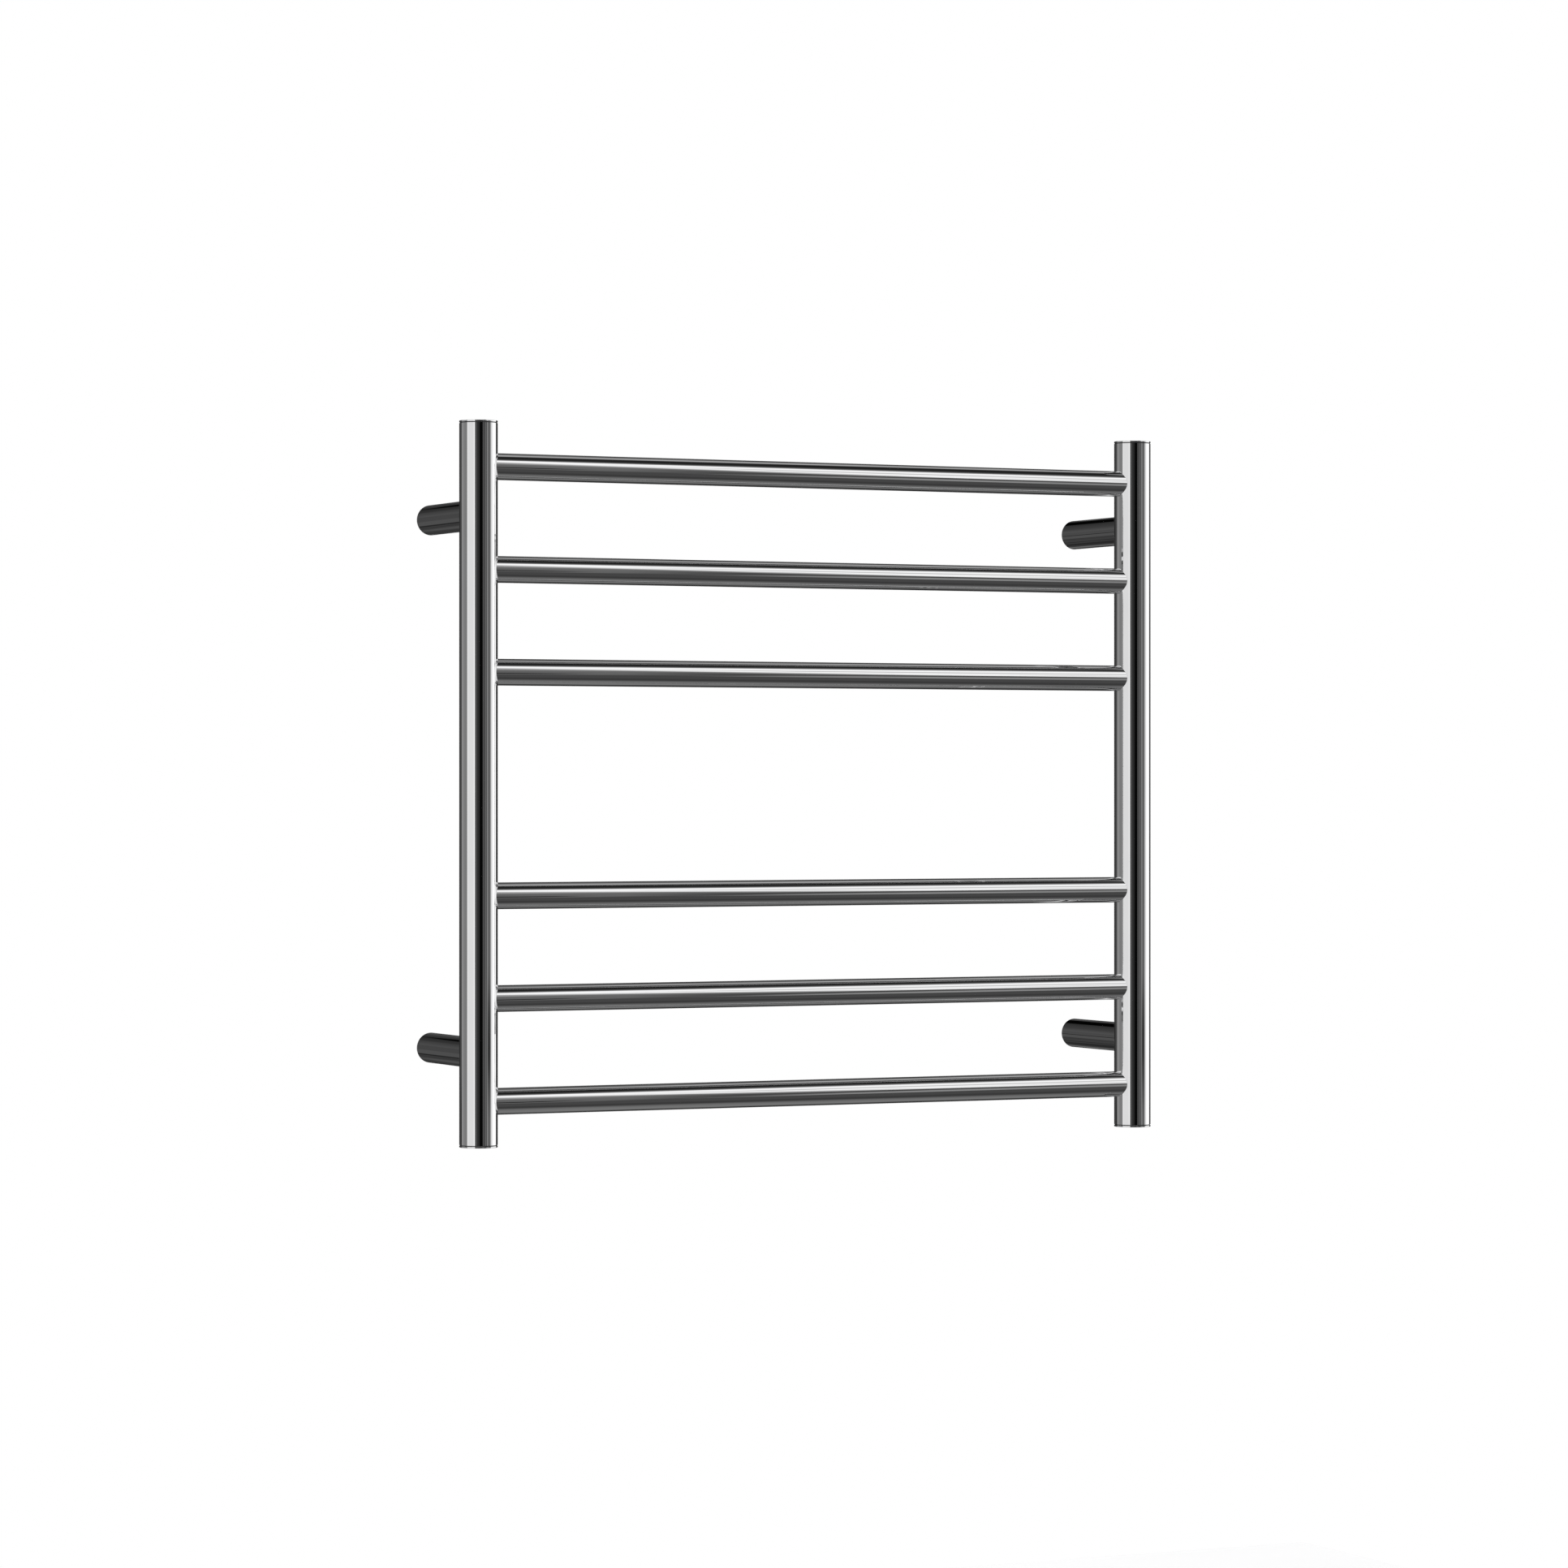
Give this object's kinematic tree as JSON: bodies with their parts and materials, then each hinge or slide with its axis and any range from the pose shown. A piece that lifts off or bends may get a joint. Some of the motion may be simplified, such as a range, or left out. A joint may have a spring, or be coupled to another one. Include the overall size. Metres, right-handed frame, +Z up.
{
  "type": "towel warmer rack",
  "caption": "Wall-hung electric towel warmer: polished round posts and rungs in an upper and a lower group, on stand-off legs that hide the wall fixings and the cable entry.",
  "frame": {"origin": "on the wall plane, at the centre of the rectangle of wall screws", "axes": "+X to the right along the rungs, +Z up along the posts, +Y into the wall, so the front faces -Y"},
  "size_m": [0.65, 0.1219, 0.6],
  "materials": {
    "polished_posts": "polished",
    "polished_rungs": "polished",
    "polished_caps": "polished",
    "polished_legs": "polished",
    "boss_steel": "satin",
    "screw_steel": "satin",
    "bush_rubber": "matte",
    "block_plastic": "satin",
    "contact_brass": "satin",
    "lead_sheath": "satin",
    "cutout_sleeve": "satin",
    "splice_sleeve": "satin",
    "cable_sheath": "matte",
    "earth_sheath": "satin",
    "tinned_brass": "satin"
  },
  "bodies": {
    "root": {"post_left": "polished_posts", "post_right": "polished_posts", "rung_1": "polished_rungs", "rung_2": "polished_rungs", "rung_3": "polished_rungs", "rung_4": "polished_rungs", "rung_5": "polished_rungs", "rung_6": "polished_rungs", "cap_top_left": "polished_caps", "cap_top_right": "polished_caps", "cap_bottom_left": "polished_caps", "cap_bottom_right": "polished_caps", "leg_top_left": "polished_legs", "leg_top_right": "polished_legs", "leg_bottom_left": "polished_legs", "leg_bottom_right": "polished_legs", "wall_boss_top_left": "boss_steel", "wall_boss_top_right": "boss_steel", "wall_boss_bottom_left": "boss_steel", "wall_boss_bottom_right": "boss_steel", "grub_screw_top_left": "screw_steel", "grub_screw_top_right": "screw_steel", "grub_screw_bottom_left": "screw_steel", "grub_screw_bottom_right": "screw_steel", "cable_bush": "bush_rubber", "terminal_block": "block_plastic", "terminal_contacts": "contact_brass", "cold_lead": "lead_sheath", "thermal_cutout": "cutout_sleeve", "lead_splice": "splice_sleeve", "heating_cable": "cable_sheath", "element_end_seal": "splice_sleeve", "earth_lead": "earth_sheath", "earth_tag": "tinned_brass", "earth_stud": "screw_steel", "earth_nut": "screw_steel"}
  },
  "joints": []
}
